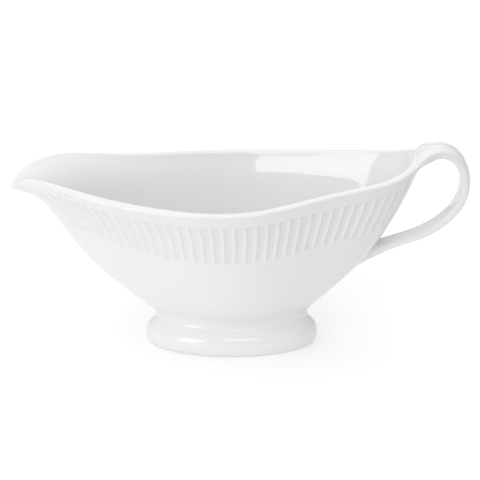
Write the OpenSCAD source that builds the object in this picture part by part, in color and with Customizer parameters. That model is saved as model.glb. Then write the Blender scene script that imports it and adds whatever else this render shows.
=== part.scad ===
// Gravy boat: an oval porcelain bowl with a pouring spout and a fluted band, on a pedestal
// foot, with a looped strap handle. Bowl, foot and handle are cast apart and luted with slip.
// Millimetres, +Z up. The origin is the middle of the foot on the table, the spout points
// along -X, and the object is the same on both sides of the XZ plane.

/* [Bowl] */
// Length of the rim, from the spout's tip to the back end
bowl_l = 212; // [176:1:254]
// Width across the walls at the widest
bowl_w = 97; // [81:1:116]
// Height of the rim's back end above the table
bowl_h = 106; // [90:1:124]
// Thickness of the wall and of the rounded lip
wall_t = 4.6; // [3.6:0.2:5.6]
// Thickness of the lip at the spout's tip
tip_t = 3.4; // [2.6:0.2:4.4]

/* [Fluted band] */
// Number of flutes round the bowl
flutes = 80; // [56:4:96]
// Depth of a flute
flute_depth = 0.7; // [0.3:0.1:1.2]
// Height of the plain band between the lip's crest and the flutes
plain_h = 7.3; // [5.8:0.1:9.6]
// Height of the fluted band
band_h = 21.8; // [14:0.2:26]

/* [Foot] */
// Length of the foot at its widest
foot_l = 91; // [78:1:104]
// Width of the foot at its widest
foot_w = 48; // [42:1:58]
// Height of the foot, from the table to the bowl
foot_h = 18; // [14:0.5:22]
// Width of the flat ring that stands on the table
foot_ring = 3.4; // [2.4:0.2:4.4]

/* [Handle] */
// Width of the strap at the top of the loop
strap_w = 15; // [12:0.5:18]
// Thickness of the strap at the top of the loop
strap_t = 6.2; // [4.6:0.2:7.4]
// How far the loop's middle line reaches behind the rim's back end
loop_reach = 26; // [22:0.5:32]
// Thickness of the slip that joins the pieces
slip_t = 0.4; // [0.3:0.1:0.8]

/* [Hidden] */

porcelain = "#f4f3f0";
slip_white = "#eceae4";

// Samples: stations round the bowl, columns of its mesh, points round the foot and the strap,
// and the finer samples that the rim's crest and the foot's oval are measured with
stations = 320;
columns = flutes * 2;
foot_points = 80;
strap_points = 20;
crest_samples = 800;
oval_samples = 360;
// The small share of a ring over which directions are measured
nudge = 0.0005;

// The rim's crest is a closed B-spline. One side's control points run from the spout's tip to
// the back end, as shares of the rim's length, half its width, and its height. The curve stays
// inside its widest point and is led up past its height, and rim_stretch makes up for both.
rim_stretch = [1, 1.002, 0.972];
rim_side = [
    [-0.547, 0.000, 0.822], [-0.520, 0.176, 0.932], [-0.420, 0.535, 0.943],
    [-0.288, 0.710, 0.892], [-0.078, 0.990, 0.875], [0.078, 0.945, 0.881],
    [0.236, 0.650, 0.933], [0.384, 0.490, 0.955], [0.449, 0.240, 1.010],
    [0.454, 0.000, 1.032]
];
rim_size = [bowl_l * rim_stretch[0], bowl_w / 2 * rim_stretch[1], bowl_h * rim_stretch[2]];

// The wall rises from the waist to the rim along a cubic Bezier curve. Each row holds its two
// middle points as [share of run, share of rise] pairs: at the sides, spout and back end.
side_curve = [0.80, 0.08, 0.93, 0.50];
spout_curve = [0.79, 0.58, 0.61, 0.91];
back_curve = [0.30, 0.27, 0.60, 0.30];
// How sharply the spout's and the back end's curves give way to the sides'
spout_focus = 1.65;
back_focus = 3;
tip_focus = 8;

// How much thicker the wall grows below the lip, where that starts and how soon it is reached
swell = 0.9;
swell_top = 2.3;
swell_reach = 8;
// The power that squares the lip's half round off
lip_power = 0.6;

// The floor inside, and how softly the wall runs into it
floor_z = foot_h + wall_t;
floor_blend = 2.5;

// The foot: how far the waist lies inside its widest oval, the bead's height and the tuck
// below it, and the wall's thickness at the waist
waist_in = 5.6;
bead_z = foot_h * 0.35;
bead_tuck = 3;
foot_wall = 5.2;
// How far the hollow's wall draws in from a straight line
hollow_in = 0.8;

// Flutes die out this many flutes from the spout's keel and from the back end
plain_ends = 1.6;
// How far the flutes lean towards the spout at the band's foot, as a share of one flute
lean = 0.32;

// ---- Curves and rings ----

function mix(a, b, t) = a + (b - a) * t;
function unit(a) = a / norm(a);
function part_of(a, lo, hi) = min(max((a - lo) / (hi - lo), 0), 1);
function eased(t) = t * t * (3 - 2 * t);
function rounded(x, power) = sign(x) * pow(abs(x), power);

near_side = [for (p = rim_side) [for (k = [0:2]) p[k] * rim_size[k]]];
rim_control = concat(
    near_side,
    [for (i = [len(near_side) - 2:-1:1]) [near_side[i][0], -near_side[i][1], near_side[i][2]]]
);

// Uniform cubic B-spline through list c, closed, at t control points from its start
function spline(c, t) =
    let (n = len(c), i = floor(t), u = t - i)
    (pow(1 - u, 3) * c[(i - 1 + n) % n] + (3 * u * u * u - 6 * u * u + 4) * c[i % n]
        + (3 * u + 3 * u * u - 3 * u * u * u + 1) * c[(i + 1) % n] + u * u * u * c[(i + 2) % n]) / 6;

// Length along a list of points, at each of them
function step_at(p, i) = i + 1 < len(p) ? norm(p[i + 1] - p[i]) : 0;
function lengths(p) = [for (i = 0, s = 0; i < len(p); s = s + step_at(p, i), i = i + 1) s];
function ring_length(ring) = let (s = lengths(concat(ring, [ring[0]]))) s[len(s) - 1];

// A closed ring of points drawn again as n points at equal steps along it, which are drawn
// towards its start by a share of the ring times the sine of the way round
function even(ring, n, drawn = 0) =
    let (
        p = concat(ring, [ring[0]]), s = lengths(p), whole = s[len(s) - 1],
        axes = [for (k = [0:2]) [for (i = [0:len(p) - 1]) [s[i], p[i][k]]]]
    )
    [for (j = [0:n - 1])
        [for (k = [0:2]) lookup(whole * (j / n - drawn * sin(360 * j / n)), axes[k])]];

// The rim's crest at a share of its length, from the spout's tip round by +Y
crest_steps = [for (i = [0:crest_samples]) i / crest_samples * len(rim_control)];
crest_lengths = lengths([for (t = crest_steps) spline(rim_control, t)]);
crest_table = [for (i = [0:crest_samples])
    [crest_lengths[i] / crest_lengths[crest_samples], crest_steps[i]]];
function crest(share) = spline(rim_control, lookup(share - floor(share), crest_table));

// An oval drawn off from the foot's widest one, at a share of that oval's length
function ellipse(a) = [-foot_l / 2 * cos(a), foot_w / 2 * sin(a), 0];
oval_turns = [for (i = [0:oval_samples]) 360 * i / oval_samples];
oval_lengths = lengths([for (a = oval_turns) ellipse(a)]);
oval_table = [for (i = [0:oval_samples]) [oval_lengths[i] / oval_lengths[oval_samples], oval_turns[i]]];
function oval(share, off) =
    let (a = lookup(share - floor(share), oval_table))
    ellipse(a) + off * unit([-foot_w * cos(a), foot_l * sin(a), 0]);

// ---- The bowl's outer wall ----

function spout_share(share, focus) = pow(pow(cos(180 * share), 2), focus);
function back_share(share) = pow(pow(sin(180 * share), 2), back_focus);
function curve_at(share) =
    side_curve + spout_share(share, spout_focus) * (spout_curve - side_curve)
        + back_share(share) * (back_curve - side_curve);
function thickness(share) = mix(wall_t, tip_t, spout_share(share, tip_focus));

// All that the wall needs at one share of the rim:
// [crest, outward normal, direction over the edge, thickness, waist, top of the wall, curve]
function station(share) =
    let (
        c = crest(share), w = oval(share, -waist_in), h = curve_at(share), t = thickness(share),
        along = unit(crest(share + nudge) - crest(share - nudge)),
        flat = (c - w) * (1 - h[2]),
        climb = [flat[0], flat[1], (c[2] - foot_h) * (1 - h[3])],
        n = unit(cross(climb, along)), over = unit(cross(along, n))
    )
    [c, n, over, t, w + [0, 0, foot_h], c + (n - over) * t / 2, h];

function bezier(a, b, c, d, t) =
    pow(1 - t, 3) * a + 3 * t * pow(1 - t, 2) * b + 3 * t * t * (1 - t) * c + pow(t, 3) * d;
function run(h, v) = bezier(0, h[0], h[2], 1, v);
function rise(h, v) = bezier(0, h[1], h[3], 1, v);

// Where the rise reaches q, by halving
function rise_at(h, q, lo = 0, hi = 1, steps = 14) =
    let (m = (lo + hi) / 2, high = rise(h, m) > q)
    steps == 0 ? m : rise_at(h, q, high ? lo : m, high ? m : hi, steps - 1);

function wall(s, v) =
    let (x = run(s[6], v), z = rise(s[6], v))
    [mix(s[4][0], s[5][0], x), mix(s[4][1], s[5][1], x), mix(s[4][2], s[5][2], z)];
function wall_v(s, z) = rise_at(s[6], (z - foot_h) / (s[5][2] - foot_h));

// A point of the wall, depth below the crest, and one between the waist (0) and the band (1)
function below_crest(s, depth) = wall(s, wall_v(s, s[0][2] - depth));
function below_band(s, share) = wall(s, wall_v(s, s[0][2] - plain_h - band_h) * share);

// The lip runs from the outer wall (0 degrees) over the edge to the inner one (180), flat on
// top with round shoulders
function lip(s, a) =
    s[0] - s[2] * s[3] / 2 * (1 - rounded(sin(a), lip_power))
        + s[1] * s[3] / 2 * rounded(cos(a), lip_power);

round_bowl = [for (i = [0:stations - 1]) station(i / stations)];

// Flutes start at a short ledge and fade out over the last stretch of the band
ledge = 0.5;
fade = 3;
// Depths of the rows below the crest, with each one's share of the flutes' depth
band_rows = [
    [plain_h * 0.55, 0], [plain_h, 0], [plain_h + ledge, 1], [plain_h + band_h * 0.4, 1],
    [plain_h + band_h - fade, 1], [plain_h + band_h, 0]
];
// Rows below the band, as shares of the way up to it from the waist
low_shares = [0.82, 0.62, 0.42, 0.2, 0];

function lean_at(depth) = lean / flutes * eased(part_of(depth, 0, plain_h + band_h));
outer_rows = concat(
    [for (b = band_rows) even([for (s = round_bowl) below_crest(s, b[0])], columns, lean_at(b[0]))],
    [for (w = low_shares) even([for (s = round_bowl) below_band(s, w)], columns, lean / flutes)]
);
outer_relief = concat([for (b = band_rows) b[1]], [for (w = low_shares) 0]);
lip_rows = [for (a = [180:-30:0]) even([for (s = round_bowl) lip(s, a)], columns)];

// Outward normals of a row, from its neighbours along the ring and up the wall
function row_normals(row, upper, lower) =
    let (n = len(row))
    [for (j = [0:n - 1]) unit(cross(upper[j] - lower[j], row[(j + 1) % n] - row[(j + n - 1) % n]))];

function normals_of(rows) =
    [for (r = [0:len(rows) - 1])
        row_normals(rows[r], rows[max(r - 1, 0)], rows[min(r + 1, len(rows) - 1)])];

outer_normals = normals_of(outer_rows);

// Flutes: each second column lies in a groove, and the ridges between them stand on the wall
function flute_at(j) =
    let (k = j / 2, ends = min(k, abs(k - flutes / 2), flutes - k))
    (j % 2 == 0 ? 1 : 0) * (ends < plain_ends ? 0 : 1);

fluted_rows = [for (r = [0:len(outer_rows) - 1])
    [for (j = [0:columns - 1])
        outer_rows[r][j] - outer_normals[r][j] * flute_depth * outer_relief[r] * flute_at(j)]];

// The inner wall lies inside the outer one and runs softly into the floor
function settled(z) = floor_z + floor_blend * ln(1 + exp((z - floor_z) / floor_blend));
// It needs no row at the flutes' two edges
inner_picks = [0, 2, 3, 5, 6, 7, 8, 9, 10];
function swollen(r) =
    swell * (r < len(band_rows) ? 1 - exp(-pow((band_rows[r][0] - swell_top) / swell_reach, 2)) : 1);
inner_rows = [for (r = inner_picks)
    [for (j = [0:columns - 1])
        let (p = outer_rows[r][j] - outer_normals[r][j] * (thickness(j / columns) + swollen(r)))
        [p[0], p[1], settled(p[2])]]];
last_inner = inner_rows[len(inner_rows) - 1];
// The floor's rings, as shares of the last inner row
floor_shares = [0.6, 0.25];
floor_rows = [for (k = floor_shares)
    [for (p = last_inner) [p[0] * k, p[1] * k, floor_z + (p[2] - floor_z) * pow(k, 3)]]];

function middle(ring) = [for (k = [0:2]) [for (p = ring) p[k]] * [for (p = ring) 1] / len(ring)];

// A skin over rings of the same number of points: closed by a middle point at either end, or
// joined last to first when looped.
module skin(rings, looped = false) {
    n = len(rings[0]);
    m = len(rings);
    middles = looped ? [] : [middle(rings[0]), middle(rings[m - 1])];
    sides = [for (i = [0:m - (looped ? 1 : 2)]) for (j = [0:n - 1])
        let (
            j2 = (j + 1) % n, i2 = (i + 1) % m,
            a = i * n + j, b = i * n + j2, c = i2 * n + j2, d = i2 * n + j
        )
        each [[a, c, b], [a, d, c]]];
    ends = looped ? [] : [for (j = [0:n - 1]) each [
        [m * n, j, (j + 1) % n], [m * n + 1, (m - 1) * n + (j + 1) % n, (m - 1) * n + j]]];
    polyhedron(concat([for (r = rings) each r], middles), concat(sides, ends));
}

module bowl() {
    color(porcelain)
        skin(concat(
            [for (i = [len(floor_rows) - 1:-1:0]) floor_rows[i]],
            [for (i = [len(inner_rows) - 1:-1:0]) inner_rows[i]],
            lip_rows, fluted_rows));
}

// ---- The foot ----

foot_top = foot_h - slip_t;
// The foot's section as [offset from its widest oval, height]: the flare from the waist to the
// bead, the bead's underside, the ring on the table, and the hollow's wall
flare_steps = 7;
tuck_steps = 4;
hollow_steps = 4;
ring_inside = -bead_tuck - foot_ring;
hollow_top = -waist_in - foot_wall;
foot_section = concat(
    [for (k = [0:flare_steps])
        bezier([-waist_in, foot_top], [-waist_in, foot_h * 0.72],
            [0, foot_h * 0.66], [0, bead_z], k / flare_steps)],
    [for (k = [1:tuck_steps])
        let (a = 90 * k / tuck_steps) [bead_tuck * (cos(a) - 1), bead_z * (1 - sin(a))]],
    [for (k = [0:hollow_steps])
        bezier([ring_inside, 0], [ring_inside - hollow_in, foot_h * 0.1],
            [hollow_top, foot_h * 0.5], [hollow_top, foot_top], k / hollow_steps)]
);

// A section carried round the foot's oval
module oval_skin(section)
    skin([for (p = section)
        [for (j = [0:foot_points - 1]) oval(j / foot_points, p[0]) + [0, 0, p[1]]]], looped = true);

// The cut at the table's height makes the ring one flat face
module foot() {
    color(porcelain)
        intersection() {
            oval_skin(foot_section);
            translate([-foot_l, -foot_w, 0]) cube([2 * foot_l, 2 * foot_w, foot_h]);
        }
}

// Slip bead in the waist, between the foot's top and the bowl's underside
module foot_slip_joint() {
    bulge = slip_t * 0.6;
    color(slip_white)
        oval_skin([[-waist_in + bulge, foot_top + slip_t / 2], [-waist_in, foot_top],
            [hollow_top, foot_top], [hollow_top, foot_h], [-waist_in, foot_h]]);
}

// ---- The handle ----

back = crest(0.5);
// The strap's middle line, from above the rim's back end round to the lower arm, as
// [share of the reach behind the back end, height above it as a share of the loop's height]
body_h = back[2] - foot_h;
loop_h = body_h * 0.6;
loop_side = [
    [0.22, 0.015], [0.38, 0.045], [0.64, 0.025], [0.88, -0.085], [0.98, -0.30],
    [0.86, -0.53], [0.48, -0.73], [0.06, -0.845], [-0.32, -0.905]
];
loop_control = [for (p = loop_side) [back[0] + p[0] * loop_reach, 0, back[2] + p[1] * loop_h]];
loop_steps = 30;
// The strap's width and thickness where it nears the lower root, as shares of those at the top
arm_w = 0.78;
arm_t = 0.66;

// Open B-spline that starts and ends on its first and last control points
function open_spline(c, t) =
    let (
        n = len(c), w = concat([2 * c[0] - c[1]], c, [2 * c[n - 1] - c[n - 2]]),
        i = min(floor(t), n - 2), u = t - i
    )
    (pow(1 - u, 3) * w[i] + (3 * u * u * u - 6 * u * u + 4) * w[i + 1]
        + (3 * u + 3 * u * u - 3 * u * u * u + 1) * w[i + 2] + u * u * u * w[i + 3]) / 6;
loop_line = [for (k = [0:loop_steps])
    open_spline(loop_control, k / loop_steps * (len(loop_control) - 1))];

// The strap's rounded section: share of the half width and of the half thickness
section_power = 0.6;
strap_section = [for (j = [0:strap_points - 1])
    let (a = 360 * j / strap_points) [rounded(cos(a), section_power), rounded(sin(a), section_power)]];

function strap_ring(k) =
    let (
        along = unit(loop_line[min(k + 1, loop_steps)] - loop_line[max(k - 1, 0)]),
        out = [-along[2], 0, along[0]], low = eased(k / loop_steps),
        half_w = strap_w / 2 * mix(1, arm_w, low), half_t = strap_t / 2 * mix(1, arm_t, low)
    )
    [for (q = strap_section) loop_line[k] + out * half_t * q[1] + [0, half_w * q[0], 0]];

// The roots' outlines on the wall: [depth of the middle below the lip's crest, half height,
// half width, length round the bowl there, 1 where the strap's outer face is the upper one or -1]
function root(depth, half_h, half_w, way) =
    [depth, half_h, half_w, ring_length([for (s = round_bowl) below_crest(s, depth)]), way];
upper_root = root(wall_t * 1.07, strap_t * 0.61, strap_w * 0.72, 1);
lower_root = root(body_h * 0.605, strap_t * 0.9, strap_w * 0.5, -1);

function on_wall(share, z) =
    let (s = station(share), lip_z = s[5][2])
    z > lip_z ? lip(s, asin(pow(min((z - lip_z) / (s[0][2] - lip_z), 1), 1 / lip_power)))
        : wall(s, wall_v(s, z));
function wall_normal(share, z, step = 0.1) =
    unit(cross(on_wall(share, z + step) - on_wall(share, z - step),
        on_wall(share + nudge, z) - on_wall(share - nudge, z)));

// One ring of a root: its outline scaled by size, lifted off the wall
function root_ring(root, size, lift) =
    [for (q = strap_section)
        let (
            share = 0.5 - size * q[0] * root[2] / root[3],
            z = crest(share)[2] - root[0] + size * q[1] * root[1] * root[4]
        )
        on_wall(share, z) + lift * wall_normal(share, z)];

// Rings that carry a root's outline smoothly over to a ring of the strap. They leave the wall
// square to it and reach the strap along it, each as firmly as its pull in millimetres.
blend_steps = 5;
function blend(root, ring, along, wall_pull, strap_pull) =
    let (start = root_ring(root, 1, slip_t), off_wall = root_ring(root, 1, slip_t + wall_pull))
    [for (k = [0:blend_steps - 1])
        [for (j = [0:strap_points - 1])
            bezier(start[j], off_wall[j], ring[j] - along * strap_pull, ring[j], k / blend_steps)]];
upper_pulls = [1.2, 3];
lower_pulls = [0.8, 4];

// Sizes of the rings that fill a root's outline
cap_sizes = [0.2, 0.4, 0.6, 0.8];

module handle() {
    first = unit(loop_line[1] - loop_line[0]);
    last = unit(loop_line[loop_steps - 1] - loop_line[loop_steps]);
    color(porcelain)
        skin(concat(
            [for (c = cap_sizes) root_ring(upper_root, c, slip_t)],
            blend(upper_root, strap_ring(0), first, upper_pulls[0], upper_pulls[1]),
            [for (k = [0:loop_steps]) strap_ring(k)],
            reversed(blend(lower_root, strap_ring(loop_steps), last, lower_pulls[0], lower_pulls[1])),
            reversed([for (c = cap_sizes) root_ring(lower_root, c, slip_t)])));
}

function reversed(list) = [for (i = [len(list) - 1:-1:0]) list[i]];

// A pad of slip under a root, a little wider than it, so that a fine bead shows round it
module slip_pad(root) {
    spread = 1.06;
    rings = concat(
        [for (c = cap_sizes) root_ring(root, c, 0)],
        [root_ring(root, 1, 0), root_ring(root, spread, 0), root_ring(root, 1, slip_t)],
        reversed([for (c = cap_sizes) root_ring(root, c, slip_t)]));
    skin(root[4] > 0 ? rings : reversed(rings));
}

module handle_upper_slip_joint() color(slip_white) slip_pad(upper_root);
module handle_lower_slip_joint() color(slip_white) slip_pad(lower_root);

bowl();
foot();
handle();
foot_slip_joint();
handle_upper_slip_joint();
handle_lower_slip_joint();
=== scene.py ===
# %% [markdown]
# # A white porcelain gravy boat
# The boat is one fired piece of porcelain that was cast as three: an oval bowl with a pouring
# spout, a pedestal foot and a strap handle. Liquid clay, called slip, joins them, and a clear
# glaze covers all but the ring that it stands on. Everything here is in metres in the frame of
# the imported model, which is loaded first and never moved.

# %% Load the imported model
import math
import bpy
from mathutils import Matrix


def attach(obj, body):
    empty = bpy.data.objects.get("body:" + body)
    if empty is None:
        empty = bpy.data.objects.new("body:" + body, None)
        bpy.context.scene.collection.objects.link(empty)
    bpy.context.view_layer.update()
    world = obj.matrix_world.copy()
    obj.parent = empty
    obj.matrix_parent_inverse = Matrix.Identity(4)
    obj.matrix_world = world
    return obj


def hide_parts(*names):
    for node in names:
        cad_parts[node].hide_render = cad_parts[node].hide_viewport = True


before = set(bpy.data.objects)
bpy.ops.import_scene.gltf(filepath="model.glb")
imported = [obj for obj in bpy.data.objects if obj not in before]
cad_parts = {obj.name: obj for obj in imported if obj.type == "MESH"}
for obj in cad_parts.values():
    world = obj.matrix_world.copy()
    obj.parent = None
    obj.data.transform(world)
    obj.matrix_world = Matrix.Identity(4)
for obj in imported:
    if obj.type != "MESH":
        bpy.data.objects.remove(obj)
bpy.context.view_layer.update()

from types import SimpleNamespace

import bpy
import numpy as np
from mathutils import Quaternion, Vector

print("nodes in the frame:", sorted(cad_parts))

# %% [markdown]
# ## The studio
# White porcelain on a white sheet is lit so that the sheet burns out to plain white and the glaze
# still shows form. Most of the light comes down from a bright ceiling and fills the inside, while
# the outer walls, which lean over the sheet, are lit from below by what it throws back. The sheet
# ends in front and on the right, where a grey table darkens that side of the boat. A tall panel
# in front on the left lights the spout's side more, and the glaze inside the bowl's back mirrors
# it. A small one high in front draws a line along the foot. A long lens from a metre away keeps
# the shape undistorted.

# %% Camera
LOOK_AT = Vector((0.0043, 0.0, 0.0575))
ELEVATION = math.radians(23)
DISTANCE = 0.9775
FRAME_WIDTH_AT_TARGET = 0.2568

camera = bpy.data.objects.new("camera", bpy.data.cameras.new("camera"))
camera.location = LOOK_AT + DISTANCE * Vector((0, -math.cos(ELEVATION), math.sin(ELEVATION)))
camera.rotation_euler = (math.pi / 2 - ELEVATION, 0, 0)
camera.data.sensor_width = 36
# The frame is this wide one metre away, so focal length / sensor is distance / width
camera.data.lens = camera.data.sensor_width / FRAME_WIDTH_AT_TARGET
bpy.context.scene.collection.objects.link(camera)
bpy.context.scene.camera = camera
print("camera", tuple(round(v, 4) for v in camera.location), "lens", round(camera.data.lens, 1))

# %% Colour, room and floor
scene = bpy.context.scene
scene.view_settings.view_transform = "Standard"
scene.view_settings.look = "None"

# The room is much brighter overhead and a little brighter on the spout's side: its brightness
# is a base plus the dot product of the direction with a slope, and nowhere less than a floor
ROOM_BASE, ROOM_LEAST = 0.34, 0.05
ROOM_SLOPE = (-0.12, 0.0, 1.06)

world = bpy.data.worlds.new("white_room")
world.use_nodes = True
room, room_link = world.node_tree.nodes, world.node_tree.links.new
direction = room.new("ShaderNodeTexCoord").outputs["Generated"]
slope = room.new("ShaderNodeVectorMath")
slope.operation = "DOT_PRODUCT"
slope.inputs[1].default_value = ROOM_SLOPE
brightness = room.new("ShaderNodeMath")
brightness.operation = "ADD"
brightness.inputs[1].default_value = ROOM_BASE
lit = room.new("ShaderNodeMath")
lit.operation = "MAXIMUM"
lit.inputs[1].default_value = ROOM_LEAST
room_link(direction, slope.inputs[0])
room_link(slope.outputs["Value"], brightness.inputs[0])
room_link(brightness.outputs[0], lit.inputs[0])
room_link(lit.outputs[0], room["Background"].inputs["Strength"])
room["Background"].inputs["Color"].default_value = (1.0, 1.0, 1.0, 1.0)
scene.world = world

TABLE_SIZE = 6.0
half = TABLE_SIZE / 2
floor_mesh = bpy.data.meshes.new("table")
floor_mesh.from_pydata([(-half, -half, 0), (half, -half, 0), (half, half, 0), (-half, half, 0)],
                       [], [(0, 1, 2, 3)])
table = bpy.data.objects.new("table", floor_mesh)
scene.collection.objects.link(table)


# %% Light panels
def panel(name, azimuth, elevation, distance, size, radiance, roll=0.0):
    """An oblong area light that faces the boat. Azimuth runs from the front towards +X, and roll
    turns the panel in its own plane. Its power is radiance times pi times its area, so its
    mirror image keeps its brightness."""
    turn, rise = math.radians(azimuth), math.radians(elevation)
    way = Vector((math.sin(turn) * math.cos(rise), -math.cos(turn) * math.cos(rise), math.sin(rise)))
    data = bpy.data.lights.new(name, "AREA")
    data.shape = "RECTANGLE"
    data.size, data.size_y = size
    data.energy = radiance * math.pi * size[0] * size[1]
    light = bpy.data.objects.new(name, data)
    light.location = way * distance + Vector((0, 0, 0.06))
    rolled = Quaternion((0, 0, 1), math.radians(roll))
    light.rotation_euler = (way.to_track_quat("Z", "Y") @ rolled).to_euler()
    scene.collection.objects.link(light)
    return light


panel("tall_panel", azimuth=-34, elevation=15, distance=1.3, size=(0.46, 0.68), radiance=3.5,
      roll=-18)
panel("high_panel", azimuth=8, elevation=38, distance=1.2, size=(0.5, 0.2), radiance=2.8)

# %% [markdown]
# ## Curves
# Every surface below is worked out in millimetres, as whole arrays. Two kinds of curve carry
# them: a closed B-spline, which runs smoothly past a ring of control points and suits a rim, and
# a cubic Bezier curve, which starts and ends where it is told and suits a wall's section.


# %% Helpers for curves
NUDGE = 0.0005  # the small share of a ring over which directions are measured


def unit(vectors):
    """Vectors scaled to length one."""
    return vectors / np.linalg.norm(vectors, axis=-1, keepdims=True)


def mix(a, b, t):
    """The value a share t of the way from a to b."""
    return a + (b - a) * t


def eased(t):
    """Runs from 0 to 1 with level ends: 3 t squared less 2 t cubed, held at its ends."""
    t = np.clip(t, 0, 1)
    return t * t * (3 - 2 * t)


def bezier(a, b, c, d, t):
    """Cubic Bezier curve: its four points weighted by the cubic Bernstein shares of t."""
    return (1 - t) ** 3 * a + 3 * t * (1 - t) ** 2 * b + 3 * t * t * (1 - t) * c + t ** 3 * d


def spline_weights(u):
    """The four weights of a uniform cubic B-spline at share u of its span."""
    return (1 - u) ** 3, 3 * u ** 3 - 6 * u ** 2 + 4, 1 + 3 * u + 3 * u ** 2 - 3 * u ** 3, u ** 3


def closed_spline(control, turn):
    """Closed B-spline at turn, which counts control points: four of them, weighted, over six."""
    first = np.floor(turn).astype(int)
    weights = spline_weights((turn - first)[..., None])
    return sum(w * control[(first + k) % len(control)] for k, w in zip((-1, 0, 1, 2), weights)) / 6


def open_spline(control, turn):
    """B-spline that starts and ends on its end points, by mirroring its neighbours in them."""
    padded = np.vstack([2 * control[0] - control[1], control, 2 * control[-1] - control[-2]])
    first = np.minimum(np.floor(turn).astype(int), len(control) - 2)
    weights = spline_weights((turn - first)[..., None])
    return sum(w * padded[first + k] for k, w in enumerate(weights)) / 6


def travelled(points):
    """How far along a line of points each one lies: the running sum of the steps."""
    steps = np.linalg.norm(np.diff(points, axis=0), axis=1)
    return np.concatenate([[0.0], np.cumsum(steps)])


def redrawn(ring, shares):
    """A closed ring of points drawn again at the given shares of its own length."""
    points = np.vstack([ring, ring[:1]])
    along = travelled(points)
    return np.stack([np.interp(shares % 1.0 * along[-1], along, points[:, k]) for k in range(3)], -1)


# %% [markdown]
# ## The bowl's shape
# The bowl is a loft. Its lower edge is the waist above the foot, an oval. Its upper edge is the
# crest of the lip, which rises to the spout and to the handle and dips between them. Between the
# two, each meridian is a Bezier curve that bulges at the sides, runs out flat under the spout and
# climbs straight at the back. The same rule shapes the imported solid, so the two agree.

# %% Sizes of the bowl
RIM_LENGTH, RIM_HALF_WIDTH, RIM_HEIGHT = 211.8, 48.52, 103.0
WALL, TIP_WALL = 4.6, 3.4
LIP_POWER = 0.6
FOOT_LENGTH, FOOT_WIDTH, FOOT_HEIGHT = 91.0, 48.0, 18.0
WAIST_IN = 5.6

rim_side = np.array([
    (-0.547, 0.000, 0.822), (-0.520, 0.176, 0.932), (-0.420, 0.535, 0.943),
    (-0.288, 0.710, 0.892), (-0.078, 0.990, 0.875), (0.078, 0.945, 0.881),
    (0.236, 0.650, 0.933), (0.384, 0.490, 0.955), (0.449, 0.240, 1.010),
    (0.454, 0.000, 1.032),
]) * (RIM_LENGTH, RIM_HALF_WIDTH, RIM_HEIGHT)
rim_control = np.vstack([rim_side, rim_side[-2:0:-1] * (1, -1, 1)])

# Middle points of the meridians, as (share of run, share of rise) twice
SIDE_CURVE = np.array([0.80, 0.08, 0.93, 0.50])
SPOUT_CURVE = np.array([0.79, 0.58, 0.61, 0.91])
BACK_CURVE = np.array([0.30, 0.27, 0.60, 0.30])
# How sharply the spout's and the back's curves, and the thin tip, give way to the sides
SPOUT_FOCUS, BACK_FOCUS, TIP_FOCUS = 1.65, 3, 8

# %% Crest, waist and meridians
SAMPLES = 4001
HALVINGS = 26
crest_turns = np.linspace(0, len(rim_control), SAMPLES)
crest_run = travelled(closed_spline(rim_control, crest_turns))


def crest(share):
    """The lip's crest, a share of its length from the spout's tip round by +Y."""
    turn = np.interp(share % 1.0, crest_run / crest_run[-1], crest_turns)
    return closed_spline(rim_control, turn)


def ellipse(angle):
    """The foot's widest oval: half the length times cosine, half the width times sine."""
    return np.stack([-FOOT_LENGTH / 2 * np.cos(angle), FOOT_WIDTH / 2 * np.sin(angle),
                     np.zeros_like(angle)], -1)


oval_angles = np.linspace(0, 2 * np.pi, SAMPLES)
oval_run = travelled(ellipse(oval_angles))


def oval(share, offset, height=0.0):
    """A point of the foot's oval pushed out by offset along its normal, at a height."""
    angle = np.interp(share % 1.0, oval_run / oval_run[-1], oval_angles)
    normal = unit(np.stack([-FOOT_WIDTH * np.cos(angle), FOOT_LENGTH * np.sin(angle),
                            np.zeros_like(angle)], -1))
    return ellipse(angle) + offset * normal + np.array([0, 0, height])


def station(share):
    """Everything the wall needs at shares of the rim: the crest, the wall's outward normal
    there, the direction over the edge, the thickness, the waist, the wall's top and its curve.
    The curve is the side's, led towards the spout's by powers of cosine and towards the
    back's by powers of sine."""
    share = np.asarray(share, float)
    spout = (np.cos(np.pi * share) ** 2)[..., None]
    back = (np.sin(np.pi * share) ** 2)[..., None]
    curve = (SIDE_CURVE + spout ** SPOUT_FOCUS * (SPOUT_CURVE - SIDE_CURVE)
             + back ** BACK_FOCUS * (BACK_CURVE - SIDE_CURVE))
    thick = mix(WALL, TIP_WALL, spout ** TIP_FOCUS)
    top, low = crest(share), oval(share, -WAIST_IN)
    ring_way = unit(crest(share + NUDGE) - crest(share - NUDGE))
    climb = (top - low) * (1 - curve[..., 2:3])
    climb[..., 2] = (top[..., 2] - FOOT_HEIGHT) * (1 - curve[..., 3])
    out = unit(np.cross(climb, ring_way))
    over = unit(np.cross(ring_way, out))
    return SimpleNamespace(share=share, crest=top, out=out, over=over, thick=thick, curve=curve,
                           waist=low + (0, 0, FOOT_HEIGHT), top=top + (out - over) * thick / 2)


def wall(s, v):
    """The outer wall from the waist (v = 0) to its top (1): run and rise are Bezier curves."""
    v = np.broadcast_to(v, s.share.shape)
    run = bezier(0, s.curve[..., 0], s.curve[..., 2], 1, v)
    rise = bezier(0, s.curve[..., 1], s.curve[..., 3], 1, v)
    return mix(s.waist, s.top, np.stack([run, run, rise], -1))


def wall_share(s, height):
    """The v at which the wall reaches a height, found by halving."""
    wanted = (height - FOOT_HEIGHT) / (s.top[..., 2] - FOOT_HEIGHT)
    low, high = np.zeros_like(wanted), np.ones_like(wanted)
    for _ in range(HALVINGS):
        middle = (low + high) / 2
        above = bezier(0, s.curve[..., 1], s.curve[..., 3], 1, middle) > wanted
        low, high = np.where(above, low, middle), np.where(above, middle, high)
    return (low + high) / 2


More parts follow.
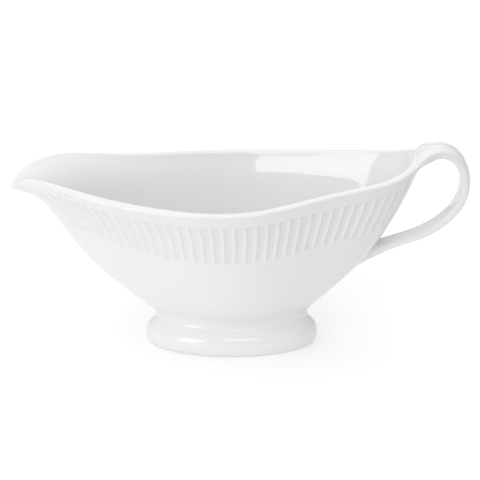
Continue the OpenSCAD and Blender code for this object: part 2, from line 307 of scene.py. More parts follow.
def below_crest(s, depth):
    """The outer wall at a depth under the crest."""
    return wall(s, wall_share(s, s.crest[..., 2] - depth))


def rounded(x, power):
    """Keeps the sign and raises the size to a power below one: a circle becomes a soft oblong."""
    return np.sign(x) * np.abs(x) ** power


def lip(s, angle):
    """The lip, from the outer wall (0) over the crest to the inner wall (pi): flat on top with
    round shoulders."""
    angle = np.asarray(angle)[..., None]
    return (s.crest - s.over * s.thick / 2 * (1 - rounded(np.sin(angle), LIP_POWER))
            + s.out * s.thick / 2 * rounded(np.cos(angle), LIP_POWER))


around = station(np.arange(1280) / 1280)
print("crest is", round(crest_run[-1], 1), "mm round; spout's tip at", around.crest[0].round(1))

# %% [markdown]
# ## The fluted band
# Under the lip runs a plain band, and under that eighty flutes. Between two flutes stands a fine
# round bead that is flush with the plain band, so the flutes are cut in and the beads aren't
# added on. They could be a bump map, but their upper ends are crisp ledges that catch the light,
# so they are in the mesh. The grid's columns crowd round each bead and thin out in the flutes,
# where little happens, and its rows crowd at both ends of the band.

# %% Sizes of the flutes
FLUTES = 80
FLUTE_DEPTH = 0.6
PLAIN_BAND, BAND = 7.3, 21.8
LEDGE, FOOT_LEDGE = 0.6, 1.8
# As shares of one flute: how far they lean towards the spout, and half a bead's width
LEAN, BEAD_HALF = 0.32, 0.22
# How deep a flute is next to its bead, as a share of its depth in the middle
FLUTE_SIDE = 0.78
# Flutes from either end that stay plain, and those over which the rest fade in
PLAIN_ENDS, FADE_ENDS = 1.2, 1.6

half_columns = np.array([0.055, 0.11, 0.165, 0.22, 0.35])
flute_columns = np.concatenate([[0.0], half_columns, [0.5], 1 - half_columns[::-1]])
column_shares = ((np.arange(FLUTES)[:, None] + 0.5 + flute_columns) / FLUTES).ravel()
print(len(column_shares), "columns round the bowl")


# %% How deep the surface lies in a flute
def flute_across(share):
    """Depth across the flutes, 0 on a bead to 1 in mid-flute. A bead is one less the power 1.5
    of one less the square, round on top and soft at its foot; a flute is a shallow sine."""
    phase = (share * FLUTES + 0.5) % 1.0
    off_bead = np.minimum(phase, 1 - phase)
    bead = 1 - (1 - np.clip(off_bead / BEAD_HALF, 0, 1) ** 2) ** 1.5
    hollow = np.sin(np.pi / 2 * np.clip((off_bead - BEAD_HALF) / (0.5 - BEAD_HALF), 0, 1))
    return bead * mix(FLUTE_SIDE, 1.0, hollow)


def flute_ends(share):
    """Fades the flutes out beside the spout's keel and behind the handle."""
    number = np.round(share * FLUTES)
    from_ends = np.minimum(np.minimum(number, FLUTES - number), np.abs(number - FLUTES / 2))
    return eased((from_ends - PLAIN_ENDS) / FADE_ENDS)


def flute_down(depth):
    """Depth down the band: a crisp ledge at the top and a softer one at the bottom."""
    return eased((depth - PLAIN_BAND) / LEDGE) * eased((PLAIN_BAND + BAND - depth) / FOOT_LEDGE)


# %% Rows of the outer wall, from the lip down to the waist
LIP_DROP = 2.4
BELOW_BAND = 0.5
plain_shares = np.array([0.1, 0.26, 0.46, 0.68, 0.86, 0.95])
band_depths = np.concatenate([
    PLAIN_BAND + LEDGE * np.array([0.0, 0.2, 0.4, 0.6, 0.8, 1.0, 1.5]),
    PLAIN_BAND + BAND * np.array([0.08, 0.2, 0.32, 0.44, 0.56, 0.68, 0.78, 0.86]),
    PLAIN_BAND + BAND - FOOT_LEDGE * np.array([1.2, 1.0, 0.8, 0.6, 0.4, 0.2, 0.0]),
    [PLAIN_BAND + BAND + BELOW_BAND],
])
lower_shares = 1 - (np.arange(1, 17) / 16) ** 0.9
# Rows below the band count as far below it, where there are no flutes and the wall is full
row_depths = np.concatenate([mix(LIP_DROP, PLAIN_BAND, plain_shares), band_depths,
                             np.full(len(lower_shares), np.inf)])
lip_drop = around.crest[:, 2] - around.top[:, 2]
band_foot = wall_share(around, around.crest[:, 2] - band_depths[-1])
row_points = ([below_crest(around, mix(lip_drop, PLAIN_BAND, share)) for share in plain_shares]
              + [below_crest(around, depth) for depth in band_depths]
              + [wall(around, band_foot * share) for share in lower_shares])


def leaning(depth):
    """The columns' shares at a depth: each leans towards the spout over the band, by the sine of
    its way round, so that the columns at the spout and at the back stay upright."""
    lean = LEAN / FLUTES * eased(depth / (PLAIN_BAND + BAND))
    return column_shares - lean * np.sin(2 * np.pi * column_shares)


smooth_rows = np.array([redrawn(ring, leaning(depth)) for ring, depth in zip(row_points, row_depths)])


def grid_normals(rows):
    """Normals of a grid that is closed round: the step down the rows crossed with the step round."""
    down = np.gradient(rows, axis=0)
    round_ring = np.roll(rows, -1, axis=1) - np.roll(rows, 1, axis=1)
    return unit(np.cross(round_ring, down))


wall_normals = grid_normals(smooth_rows)
sunk = flute_across(column_shares) * flute_ends(column_shares) * flute_down(row_depths)[:, None]
outer_rows = smooth_rows - wall_normals * (FLUTE_DEPTH * sunk)[..., None]
outwards = np.sum(wall_normals[0] * redrawn(around.out, column_shares), -1).mean()
print("outer wall", outer_rows.shape[:2], "normals point out:", round(float(outwards), 2))

# %% [markdown]
# ## Inside the bowl
# The inner wall is plain. It is the smooth outer wall moved inwards by the wall's thickness, which
# grows a little below the lip and thins towards the spout so that the stream breaks off cleanly.
# Near the bottom its height is passed through a softened maximum, so the wall runs into a level
# floor without an edge. The lip joins both walls with a flat top and round shoulders.

# %% Lip, inner wall, floor and underside
FLOOR = FOOT_HEIGHT + WALL
FLOOR_BLEND = 2.5
LIP_STEPS = 16
SWELL, SWELL_REACH = 0.9, 8.0


def swollen(depth):
    """How much thicker the wall is at a depth: one less a bell curve below the lip's foot."""
    return SWELL * (1 - np.exp(-((depth - LIP_DROP) / SWELL_REACH) ** 2))


def settled(height):
    """A softened maximum of a height and the floor's: floor + blend * log(1 + exp(excess / blend))."""
    return FLOOR + FLOOR_BLEND * np.logaddexp(0, (height - FLOOR) / FLOOR_BLEND)


# The rows that the inner wall needs: it skips most of those that crowd at the flutes' ends
plain_rows = [0, 1, 2, 3, 5, 9, 13, 14, 15, 16, 17, 18, 19, 20, 24, 28] + list(range(29, 45))
thick_round = mix(WALL, TIP_WALL, np.cos(np.pi * column_shares) ** (2 * TIP_FOCUS))
inner_thick = thick_round[None, :, None] + swollen(row_depths[plain_rows])[:, None, None]
inner_rows = smooth_rows[plain_rows] - wall_normals[plain_rows] * inner_thick
inner_rows[..., 2] = settled(inner_rows[..., 2])

floor_edge = inner_rows[-1]
floor_shares = np.array([0.87, 0.7, 0.5, 0.3, 0.12])[:, None, None]
floor_rows = np.concatenate([
    floor_edge[..., :2] * floor_shares,
    FLOOR + (floor_edge[..., 2:] - FLOOR) * floor_shares ** 3], -1)

# The lip's rows crowd at its two shoulders and at its middle line
LIP_CROWD = 0.22
lip_turns = np.linspace(0, 1, LIP_STEPS + 1)
lip_angles = np.pi * (1 - lip_turns) + LIP_CROWD * np.sin(4 * np.pi * lip_turns)
lip_rows = np.array([redrawn(lip(around, angle), column_shares) for angle in lip_angles])

UNDER_DOME = 1.2
under_shares = np.array([0.9, 0.7, 0.4, 0.15])[:, None, None]
waist_row = outer_rows[-1]
under_rows = np.concatenate([
    waist_row[..., :2] * under_shares,
    waist_row[..., 2:] + UNDER_DOME * (1 - under_shares ** 2)], -1)
bowl_rows = np.concatenate([floor_rows[::-1], inner_rows[::-1], lip_rows, outer_rows, under_rows])
print("bowl rows:", len(bowl_rows), "of", bowl_rows.shape[1], "columns")

# %% [markdown]
# ## From arrays to meshes
# A grid of points becomes a skin: each point is joined to its neighbours in the ring and in the
# next ring. A skin over a bowl is closed by a middle point at each end, and one over a foot, which
# is a tube in a ring, joins its last ring to its first. Both are watertight. The signed volume
# tells whether the faces point outwards, and turns them over if they don't.

# %% Build a mesh from a grid
MM = 0.001


def signed_volume(points, quads):
    """Sum over the faces of the box products of their corners, over six."""
    a, b, c, d = (points[quads[:, k]] for k in range(4))
    return (np.sum(a * np.cross(b, c)) + np.sum(a * np.cross(c, d))) / 6


def skin(name, rings, looped=False, **marks):
    """A closed mesh over rings of points in millimetres. Marks are named values per point."""
    count, across = rings.shape[:2]
    index = np.arange(count * across).reshape(count, across)
    if looped:
        index = np.vstack([index, index[:1]])
    here, there = index[:-1], index[1:]
    quads = np.stack([here, np.roll(here, -1, 1), np.roll(there, -1, 1), there], -1).reshape(-1, 4)
    points = rings.reshape(-1, 3)
    ends = []
    if not looped:
        points = np.vstack([points, rings[0].mean(0), rings[-1].mean(0)])
        first, last = index[0], index[-1]
        ends = [np.stack([np.roll(first, -1), first, np.full(across, len(points) - 2)], -1),
                np.stack([last, np.roll(last, -1), np.full(across, len(points) - 1)], -1)]
    if signed_volume(points, quads) < 0:
        quads = quads[:, ::-1]
        ends = [end[:, ::-1] for end in ends]
    mesh = bpy.data.meshes.new(name)
    mesh.from_pydata((points * MM).tolist(), [], quads.tolist() + [f for e in ends for f in e.tolist()])
    mesh.polygons.foreach_set("use_smooth", np.ones(len(mesh.polygons), bool))
    for mark, values in marks.items():
        flat = np.zeros(len(points))
        flat[:values.size] = values.ravel()
        mesh.attributes.new(mark, "FLOAT", "POINT").data.foreach_set("value", flat)
    mesh.update()
    piece = bpy.data.objects.new(name, mesh)
    scene.collection.objects.link(piece)
    print(name, len(mesh.vertices), "points", len(quads) * 2, "triangles")
    return piece


# %% The bowl
bowl_pool = np.zeros(bowl_rows.shape[:2])
outer_start = len(floor_rows) + len(inner_rows) + len(lip_rows)
bowl_pool[outer_start:outer_start + len(outer_rows)] = sunk
bowl = skin("bowl_porcelain", bowl_rows, pool=bowl_pool)

# %% [markdown]
# ## The foot
# The foot is a turned-looking moulding carried round an oval: a hollow flare from the waist to a
# round bead, a quarter of an ellipse tucked in below it, and a narrow flat ring on the table.
# Underneath it is open, and its inner wall leans in towards the bowl. The potter wipes the glaze
# off the ring so that the piece doesn't stick to the kiln shelf, so the ring's edges are soft.

# %% The foot's section, carried round the oval
BEAD_HEIGHT, BEAD_TUCK = FOOT_HEIGHT * 0.35, 3.0
RING, RING_EDGE = 3.4, 0.45
FOOT_WALL, HOLLOW_IN = 5.2, 0.8
SLIP = 0.4
FOOT_COLUMNS = 480

foot_top = FOOT_HEIGHT - SLIP
ring_inside = -BEAD_TUCK - RING
hollow_top = -WAIST_IN - FOOT_WALL


def curve_through(a, b, c, d, steps):
    """Points of a Bezier curve in the plane of the section, from a to d."""
    t = np.linspace(0, 1, steps)[:, None]
    return bezier(*(np.array(p, float) for p in (a, b, c, d)), t)


flare = curve_through((-WAIST_IN, foot_top), (-WAIST_IN, FOOT_HEIGHT * 0.72),
                      (0, FOOT_HEIGHT * 0.66), (0, BEAD_HEIGHT), 30)
tuck_angles = np.linspace(0, np.pi / 2, 14)[1:-1]
tuck = np.stack([BEAD_TUCK * (np.cos(tuck_angles) - 1), BEAD_HEIGHT * (1 - np.sin(tuck_angles))], -1)
ring_flat = np.array([(-BEAD_TUCK - RING_EDGE * 0.4, 0.0), (-BEAD_TUCK - RING * 0.5, 0.0),
                      (ring_inside + RING_EDGE, 0.0)])
ring_edge = curve_through((ring_inside + RING_EDGE, 0), (ring_inside + RING_EDGE * 0.4, 0),
                          (ring_inside, RING_EDGE * 0.4), (ring_inside - 0.02, RING_EDGE), 5)[1:]
hollow = curve_through((ring_inside - 0.02, RING_EDGE), (ring_inside - HOLLOW_IN, FOOT_HEIGHT * 0.1),
                       (hollow_top, FOOT_HEIGHT * 0.5), (hollow_top, foot_top), 16)[1:]
foot_section = np.concatenate([flare, tuck, ring_flat, ring_edge, hollow])
foot_shares = np.arange(FOOT_COLUMNS) / FOOT_COLUMNS
foot_rows = np.array([oval(foot_shares, offset, height) for offset, height in foot_section])
foot = skin("foot_porcelain", foot_rows, looped=True)

# %% [markdown]
# ## The slip at the waist
# Where the bowl meets the foot, the slip squeezes out and is sponged to a small hollow fillet. It
# runs from a level of the bowl's wall just above the waist to one of the flare just below. It
# leaves both along their own slopes, as a Bezier curve of five points towards the corner where
# the slopes cross, and its edges are tucked a hair under both surfaces, so that no edge shows.

# %% The fillet at the waist
FILLET, TUCK = 3.2, 0.5
SUNK = 0.07
# How firmly the curve keeps to each slope, and how far its heel lies inside the waist
SLOPE_PULL, HEEL_IN = 0.35, 1.4

round_foot = station(foot_shares)


def wall_at(height):
    """The bowl's outer wall at a level."""
    return wall(round_foot, wall_share(round_foot, np.full(FOOT_COLUMNS, height)))


def flare_ring(drop):
    """The foot's flare at a level, drop millimetres under the foot's top."""
    height = foot_top - drop
    return oval(foot_shares, np.interp(height, flare[::-1, 1], flare[::-1, 0]), height)


def crossing(a, way_a, b, way_b):
    """Where two lines pass closest to each other: the middle of their two nearest points."""
    gap, turn = a - b, np.sum(way_a * way_b, -1, keepdims=True)
    gap_a, gap_b = (np.sum(gap * way, -1, keepdims=True) for way in (way_a, way_b))
    near_a = a + way_a * (turn * gap_b - gap_a) / (1 - turn ** 2)
    near_b = b + way_b * (gap_b - turn * gap_a) / (1 - turn ** 2)
    return (near_a + near_b) / 2


fillet_top, fillet_low = wall_at(FOOT_HEIGHT + FILLET), flare_ring(FILLET)
way_down = unit(wall_at(FOOT_HEIGHT + FILLET - 0.1) - fillet_top)
way_up = unit(flare_ring(FILLET - 0.1) - fillet_low)
corner = crossing(fillet_top, way_down, fillet_low, way_up)
controls = (fillet_top, mix(fillet_top, corner, SLOPE_PULL), corner,
            mix(fillet_low, corner, SLOPE_PULL), fillet_low)
fillet_t = np.linspace(0, 1, 17)[:, None, None]
fillet = sum(math.comb(4, k) * fillet_t ** k * (1 - fillet_t) ** (4 - k) * point
             for k, point in enumerate(controls))


def facing(ring, way):
    """Normals of a surface that runs along a ring of points and down a way."""
    return unit(np.cross(np.roll(ring, -1, 0) - np.roll(ring, 1, 0), way))


out_top, out_low = facing(fillet_top, way_down), facing(fillet_low, -way_up)
fillet = fillet - 0.25 * SUNK * mix(out_top, out_low, fillet_t)
tucked_top = wall_at(FOOT_HEIGHT + FILLET + TUCK) - 2 * SUNK * out_top
tucked_low = flare_ring(FILLET + TUCK) - 2 * SUNK * out_low
heel = oval(foot_shares, -WAIST_IN - HEEL_IN, FOOT_HEIGHT - SLIP / 2)
waist_slip = skin("foot_slip_bead", np.concatenate(
    [[tucked_top], fillet, [tucked_low, heel]]), looped=True)

# %% [markdown]
# ## The handle
# The handle is a strap bent into a loop. Its outer face is reeded: a middle bead with a groove on
# either side of it. Its inner face is plain and slightly round, to sit well on a finger. Both ends
# are spread and sponged down into the wall, and the upper one reaches over the lip into the bowl.
# The strap is a section carried along a line. Each end starts as a rounded outline that lies on
# the wall, and every point of it is led to its point of the strap by a Bezier curve that leaves
# along the wall itself, so hardly an edge shows where they meet.

# %% The strap's line and section
STRAP_WIDTH, STRAP_THICK = 15.0, 6.2
LOOP_REACH, LOOP_SHARE = 25.95, 0.6
STRAP_POWER = 0.6
# The strap near its lower root, as shares of its width and thickness at the top
ARM_WIDTH, ARM_THICK = 0.78, 0.66
# How much wider the strap grows towards its upper root, and over which share of its length
FLARE, FLARE_RUN = 0.24, 0.2
# The reeds' grooves: their depth, their place and their reach as shares of the half width, and
# the shares of the strap's length over which they run out at the upper and the lower end
REED_GROOVE, REED_PLACE, REED_REACH = 0.42, 0.40, 0.085
REED_START, REED_END = 0.05, 0.12
AROUND_STRAP, ALONG_STRAP = 96, 150

back = crest(np.array(0.5))
body_height = back[2] - FOOT_HEIGHT
# The strap's middle line as (share of the reach behind the rim, height as a share of the loop's)
loop_side = np.array([
    (0.22, 0.015), (0.38, 0.045), (0.64, 0.025), (0.88, -0.085), (0.98, -0.30),
    (0.86, -0.53), (0.48, -0.73), (0.06, -0.845), (-0.32, -0.905),
])
loop_control = np.stack([back[0] + loop_side[:, 0] * LOOP_REACH, np.zeros(len(loop_side)),
                         back[2] + loop_side[:, 1] * body_height * LOOP_SHARE], -1)
strap_run = np.linspace(0, 1, ALONG_STRAP)
loop_line = open_spline(loop_control, strap_run * (len(loop_control) - 1))
loop_way = unit(np.gradient(loop_line, axis=0))
loop_out = np.stack([-loop_way[:, 2], np.zeros(ALONG_STRAP), loop_way[:, 0]], -1)

turns = 2 * np.pi * np.arange(AROUND_STRAP) / AROUND_STRAP


def reeds(across):
    """How far the outer face sinks, in millimetres: two narrow grooves, each a bell curve."""
    return REED_GROOVE * np.exp(-((np.abs(across) - REED_PLACE) / REED_REACH) ** 2)


# %% Rings of the strap
low_share = eased(strap_run)[:, None]
root_share = np.clip(1 - strap_run / FLARE_RUN, 0, 1)[:, None]
half_width = STRAP_WIDTH / 2 * (mix(1, ARM_WIDTH, low_share) + FLARE * root_share ** 2)
half_thick = STRAP_THICK / 2 * mix(1, ARM_THICK, low_share)
section_across = rounded(np.cos(turns), STRAP_POWER)
section_out = rounded(np.sin(turns), STRAP_POWER)
reed_fade = eased(strap_run / REED_START) * eased((1 - strap_run) / REED_END)
sink = np.where(section_out > 0, reeds(section_across), 0) * reed_fade[:, None]
strap_rings = (loop_line[:, None] + loop_out[:, None] * (half_thick * section_out - sink)[..., None]
               + np.array([0, 1, 0]) * (half_width * section_across)[..., None])
print("strap's line is", round(travelled(loop_line)[-1], 1), "mm long")


# %% Outlines of the roots on the wall
WALL_FALL = 0.93  # how far the back wall falls for each millimetre down over it


def inner_wall(share, depth):
    """The inner wall where the outer one is at a depth: in by the thickness along the normal."""
    s = station(share)
    v = wall_share(s, s.crest[..., 2] - depth)
    way_down = wall(s, v - 4 * NUDGE) - wall(s, v + 4 * NUDGE)
    way_round = wall(station(share + NUDGE), v) - wall(station(share - NUDGE), v)
    out = unit(np.cross(way_round, way_down))
    return wall(s, v) - out * (s.thick + swollen(depth)[..., None])


def on_bowl(share, down):
    """A point of the bowl, about down millimetres over the surface from the crest: round the lip
    first, then down the outer wall, or the inner wall where the way down is negative."""
    s = station(share)
    radius = s.thick[..., 0] / 2
    angle = np.pi / 2 - down / radius
    fall = WALL_FALL * np.maximum(np.abs(down) - radius * np.pi / 2, 0)
    outer = wall(s, wall_share(s, s.top[..., 2] - fall))
    inner = inner_wall(share, s.crest[..., 2] - s.top[..., 2] + fall)
    on_lip = lip(s, np.clip(angle, 0, np.pi))
    return np.where((angle < 0)[..., None], outer, np.where((angle > np.pi)[..., None], inner, on_lip))


STEP_DOWN, STEP_ROUND = 0.05, 0.0003


def bowl_normal(share, down):
    """The outward normal there, from two small steps over the surface."""
    step_down = on_bowl(share, down + STEP_DOWN) - on_bowl(share, down - STEP_DOWN)
    step_round = on_bowl(share + STEP_ROUND, down) - on_bowl(share - STEP_ROUND, down)
    return unit(np.cross(step_round, step_down))


def root(middle, half_height, half_width, way, power):
    """An outline's place: its middle's way down, its half sizes, which way is outside, and the
    power that squares its corners."""
    level = travelled(below_crest(around, max(middle, WALL)))[-1]
    return SimpleNamespace(middle=middle, half_height=half_height, way=way, power=power,
                           half_share=half_width / level)


def root_ring(place, size, lift):
    """The outline scaled by size about its middle, lifted off the wall."""
    share = 0.5 - size * rounded(np.cos(turns), place.power) * place.half_share
    down = place.middle - size * rounded(np.sin(turns), place.power) * place.half_height * place.way
    return on_bowl(share, down) + lift * bowl_normal(share, down)


# %% Carry the roots over to the strap
LIFT = 0.06
BLEND_STEPS = 22
# Rings that fill an outline, as (share of its size, lift off the wall): a disc just off the wall,
# hidden inside the root, whose edge dips into the wall and comes up to the outline
cap = ((0.2, LIFT), (0.4, LIFT), (0.6, LIFT), (0.8, LIFT), (1.0, -0.3), (1.04, -0.16))

upper = root(middle=-3.5, half_height=11.5, half_width=18.5, way=1, power=0.7)
lower = root(middle=59.0, half_height=9.4, half_width=8.8, way=-1, power=0.8)


def root_blend(place, ring, way, wall_pull, strap_pull):
    """Rings from an outline to a ring of the strap: Bezier curves that leave along the wall,
    towards the outline's middle, and arrive along the strap. They lie closer near the wall."""
    start = root_ring(place, 1.0, -SUNK)
    inwards = unit(root_ring(place, 0.97, -SUNK) - start)
    t = (np.linspace(0, 1, BLEND_STEPS) ** 1.3)[:-1, None, None]
    return bezier(start, start + inwards * wall_pull, ring - way * strap_pull, ring, t)


# The upper root pulls harder on the bowl's inside, so that it clears the lip
upper_pull = (7.0 + 3.5 * np.clip(np.sin(turns), 0, 1))[:, None]
upper_way, lower_way = unit(strap_rings[1] - strap_rings[0]), unit(strap_rings[-2] - strap_rings[-1])
upper_blend = root_blend(upper, strap_rings[0], upper_way, wall_pull=upper_pull, strap_pull=9.0)
lower_blend = root_blend(lower, strap_rings[-1], lower_way, wall_pull=3.8, strap_pull=6.0)
handle_rows = np.concatenate([
    [root_ring(upper, size, lift) for size, lift in cap], upper_blend, strap_rings,
    lower_blend[::-1], [root_ring(lower, size, lift) for size, lift in cap[::-1]]])
handle = skin("handle_porcelain", handle_rows)


# %% [markdown]
# ## The slip under the handle
# The handle is stuck on with slip. What squeezes out is sponged flush before the firing, so each
# pad is a thin skin between the wall and its root, and its edge turns down into the wall.

# %% Slip pads
def slip_pad(name, place):
    """A thin closed pad under a root: out over the wall, round its edge, and back over the top."""
    sizes = (0.25, 0.5, 0.75, 1.0, 1.03, 1.035, 1.02, 0.98, 0.75, 0.5, 0.25)
    lifts = (0.0, 0.0, 0.0, -0.3, -0.3, -0.25, -0.2, -0.1, 0.03, 0.03, 0.03)
    return skin(name, np.array([root_ring(place, size, lift) for size, lift in zip(sizes, lifts)]))


upper_slip = slip_pad("handle_upper_slip_bead", upper)
lower_slip = slip_pad("handle_lower_slip_bead", lower)

# %% [markdown]
# ## Glaze
# A clear glaze lies over a white body. It isn't quite even: it runs thin on edges and beads, and
# gathers in hollows, where it looks a little greyer and cooler. Its surface mirrors the room but
# waves very slightly, and here and there a pinhole or a speck shows. One node group makes all
# three, and each material sets its own strength.


# %% The glaze as a node group
# Scales of its noises, per metre: the slow drift in thickness, the ripples and the fine grain
DRIFT, RIPPLE, GRAIN = 28, 160, 1400
# Specks: how closely their cells lie, their radius in a cell, how strongly they show, their colour
SPECK_CELLS, SPECK_RADIUS, SPECK_SHOW = 120, 0.018, 0.35
SPECK_COLOUR = (0.42, 0.40, 0.36, 1)


def socket(group, name, kind, way, value=None):
    """Adds a named socket to a node group."""
    made = group.interface.new_socket(name=name, in_out=way, socket_type=kind)
    if value is not None:
        made.default_value = value
    return made


def glaze_group():
    """Node group: colour from body, pool and specks, roughness and a height for a bump."""
    group = bpy.data.node_groups.new("glaze_layer", "ShaderNodeTree")
    socket(group, "Body", "NodeSocketColor", "INPUT", (0.8, 0.8, 0.8, 1))
    socket(group, "Pooled", "NodeSocketColor", "INPUT", (0.7, 0.7, 0.7, 1))
    socket(group, "Pool", "NodeSocketFloat", "INPUT", 0.0)
    socket(group, "Unevenness", "NodeSocketFloat", "INPUT", 0.3)
    socket(group, "Gloss", "NodeSocketFloat", "INPUT", 0.1)
    socket(group, "Color", "NodeSocketColor", "OUTPUT")
    socket(group, "Roughness", "NodeSocketFloat", "OUTPUT")
    socket(group, "Height", "NodeSocketFloat", "OUTPUT")
    nodes, link = group.nodes, group.links.new
    given, made = nodes.new("NodeGroupInput"), nodes.new("NodeGroupOutput")
    place = nodes.new("ShaderNodeTexCoord").outputs["Object"]

    def noise(scale, detail):
        node = nodes.new("ShaderNodeTexNoise")
        node.inputs["Scale"].default_value = scale
        node.inputs["Detail"].default_value = detail
        link(place, node.inputs["Vector"])
        return node.outputs["Fac"]

    def maths(way, a, b, c=None):
        node = nodes.new("ShaderNodeMath")
        node.operation = way
        for i, value in enumerate((a, b, c)):
            if hasattr(value, "links"):
                link(value, node.inputs[i])
            elif value is not None:
                node.inputs[i].default_value = value
        return node.outputs[0]

    def blended(share, a, b):
        node = nodes.new("ShaderNodeMix")
        node.data_type = "RGBA"
        link(share, node.inputs["Factor"])
        for value, name in ((a, 6), (b, 7)):
            if hasattr(value, "links"):
                link(value, node.inputs[name])
            else:
                node.inputs[name].default_value = value
        return node.outputs[2]

    drift, ripple, fine = noise(DRIFT, 2), noise(RIPPLE, 2), noise(GRAIN, 3)
    cloud = maths("MULTIPLY", maths("SUBTRACT", drift, 0.5), given.outputs["Unevenness"])
    gathered = maths("ADD", given.outputs["Pool"], cloud)
    color = blended(gathered, given.outputs["Body"], given.outputs["Pooled"])
    cells = nodes.new("ShaderNodeTexVoronoi")
    cells.inputs["Scale"].default_value = SPECK_CELLS
    link(place, cells.inputs["Vector"])
    speck = maths("MULTIPLY", maths("LESS_THAN", cells.outputs["Distance"], SPECK_RADIUS), SPECK_SHOW)
    link(blended(speck, color, SPECK_COLOUR), made.inputs["Color"])
    rough = maths("MULTIPLY_ADD", maths("SUBTRACT", ripple, 0.5), 0.05, given.outputs["Gloss"])
    link(maths("MULTIPLY_ADD", speck, 0.4, rough), made.inputs["Roughness"])
    waves = maths("MULTIPLY_ADD", ripple, 0.3, drift)
    link(maths("MULTIPLY_ADD", fine, 0.02, waves), made.inputs["Height"])
    return group


glaze = glaze_group()
print("glaze group has", len(glaze.nodes), "nodes")


# %% [markdown]
# ## Porcelain
# All pieces are the same body under the same glaze. The bowl's beads and flutes carry a value on
# each point that says how deep it lies, and the glaze gathers there. The ring under the foot is
# bare: fired clay that is matt, a little warmer, and faintly grey where it has been slid about.

# %% Glazed porcelain
def porcelain(name, body, pooled, pool_mark=None):
    """Principled material whose colour, roughness and bump come from the glaze group."""
    material = bpy.data.materials.new(name)
    material.use_nodes = True
    nodes, link = material.node_tree.nodes, material.node_tree.links.new
    shader = nodes["Principled BSDF"]
    shader.inputs["IOR"].default_value = 1.52
    layer = nodes.new("ShaderNodeGroup")
    layer.node_tree = glaze
    layer.inputs["Body"].default_value = body
    layer.inputs["Pooled"].default_value = pooled
    layer.inputs["Unevenness"].default_value = 0.5
    layer.inputs["Gloss"].default_value = 0.05
    if pool_mark:
        mark = nodes.new("ShaderNodeAttribute")
        mark.attribute_name = pool_mark
        link(mark.outputs["Fac"], layer.inputs["Pool"])
    bump = nodes.new("ShaderNodeBump")
    bump.inputs["Strength"].default_value = 0.04
    bump.inputs["Distance"].default_value = 0.0005
    link(layer.outputs["Height"], bump.inputs["Height"])
    link(layer.outputs["Color"], shader.inputs["Base Color"])
    link(layer.outputs["Roughness"], shader.inputs["Roughness"])
    link(bump.outputs["Normal"], shader.inputs["Normal"])
    return material


WHITE_BODY = (0.775, 0.775, 0.77, 1)
POOLED = (0.745, 0.748, 0.75, 1)
bowl_glaze = porcelain("bowl_glaze", WHITE_BODY, POOLED, "pool")
plain_glaze = porcelain("handle_glaze", WHITE_BODY, POOLED)
slip_glaze = porcelain("slip_glaze", (0.80, 0.798, 0.792, 1), POOLED)


# %% The foot's bare ring
# In metres: the heights between which the glaze begins, and how far that line wavers
BARE_BELOW, GLAZED_ABOVE, WAVER = 0.00025, 0.00055, 0.0004
BARE_CLAY, BARE_ROUGHNESS = (0.66, 0.63, 0.58, 1), 0.62


def bare_ring(material):
    """Below a wavering line near the table, lays matt bare clay over a glazed material."""
    nodes, link = material.node_tree.nodes, material.node_tree.links.new
    shader = nodes["Principled BSDF"]
    split = nodes.new("ShaderNodeSeparateXYZ")
    place = nodes.new("ShaderNodeTexCoord").outputs["Object"]
    link(place, split.inputs["Vector"])
    waver = nodes.new("ShaderNodeTexNoise")
    waver.inputs["Scale"].default_value = 220
    link(place, waver.inputs["Vector"])
    line = nodes.new("ShaderNodeMapRange")
    line.inputs["From Min"].default_value = BARE_BELOW
    line.inputs["From Max"].default_value = GLAZED_ABOVE
    line.inputs["To Min"].default_value = 1
    line.inputs["To Max"].default_value = 0
    height = nodes.new("ShaderNodeMath")
    height.operation = "MULTIPLY_ADD"
    height.inputs[1].default_value = WAVER
    link(waver.outputs["Fac"], height.inputs[0])
    link(split.outputs["Z"], height.inputs[2])
    link(height.outputs[0], line.inputs["Value"])
    for name, value in (("Base Color", BARE_CLAY), ("Roughness", BARE_ROUGHNESS)):
        mixer = nodes.new("ShaderNodeMix")
        glazed = shader.inputs[name].links[0].from_socket
        mixer.data_type = "RGBA" if name == "Base Color" else "FLOAT"
        a, b, result = (6, 7, 2) if name == "Base Color" else (2, 3, 0)
        mixer.inputs[b].default_value = value
        link(line.outputs["Result"], mixer.inputs["Factor"])
        link(glazed, mixer.inputs[a])
        link(mixer.outputs[result], shader.inputs[name])
    return material


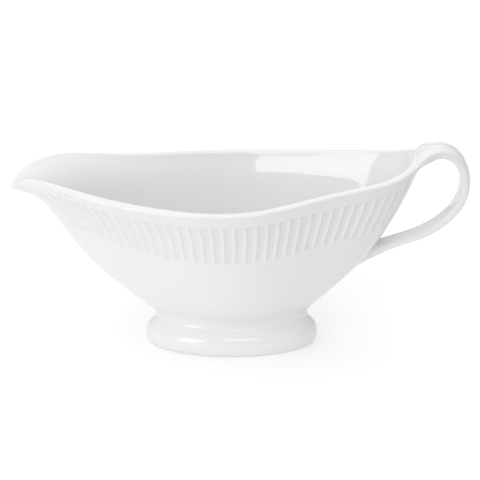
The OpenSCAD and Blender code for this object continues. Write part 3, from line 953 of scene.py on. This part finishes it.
foot_glaze = bare_ring(porcelain("foot_glaze", WHITE_BODY, POOLED))

# %% The table's finish
# The white sheet under the boat gives way to a grey table in front of it and to the right, so
# that the wall on that side is the darker one
SHEET_WAY = (-0.45, 0.89, 0.0)
# In metres along that way: where the table is all grey, and where the sheet is all white
GREY_BEFORE, WHITE_PAST = -0.38, -0.2

table_finish = bpy.data.materials.new("white_table")
table_finish.use_nodes = True
table_nodes, table_link = table_finish.node_tree.nodes, table_finish.node_tree.links.new
table_shader = table_nodes["Principled BSDF"]
table_shader.inputs["Roughness"].default_value = 0.6
table_shader.inputs["Emission Color"].default_value = (1, 1, 1, 1)
along_sheet = table_nodes.new("ShaderNodeVectorMath")
along_sheet.operation = "DOT_PRODUCT"
along_sheet.inputs[1].default_value = SHEET_WAY
table_link(table_nodes.new("ShaderNodeTexCoord").outputs["Object"], along_sheet.inputs[0])
for socket_name, grey, white in (("Base Color", 0.15, 0.66), ("Emission Strength", 0.02, 0.33)):
    sheet = table_nodes.new("ShaderNodeMapRange")
    sheet.interpolation_type = "SMOOTHSTEP"
    for name, value in (("From Min", GREY_BEFORE), ("From Max", WHITE_PAST),
                        ("To Min", grey), ("To Max", white)):
        sheet.inputs[name].default_value = value
    table_link(along_sheet.outputs["Value"], sheet.inputs["Value"])
    table_link(sheet.outputs["Result"], table_shader.inputs[socket_name])
floor_mesh.materials.append(table_finish)

# %% [markdown]
# ## Hand over
# Every piece gets its material and rides on the only body, and the node of the imported model
# that it takes the place of is hidden.

# %% Finish the pieces
pieces = [
    (bowl, "bowl", bowl_glaze, "glazed_porcelain"),
    (foot, "foot", foot_glaze, "glazed_porcelain"),
    (handle, "handle", plain_glaze, "glazed_porcelain"),
    (waist_slip, "foot_slip_joint", slip_glaze, "slip"),
    (upper_slip, "handle_upper_slip_joint", slip_glaze, "slip"),
    (lower_slip, "handle_lower_slip_joint", slip_glaze, "slip"),
]
for piece, node, material, slot_name in pieces:
    piece.data.materials.append(material)
    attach(piece, "root")
    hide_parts(node)
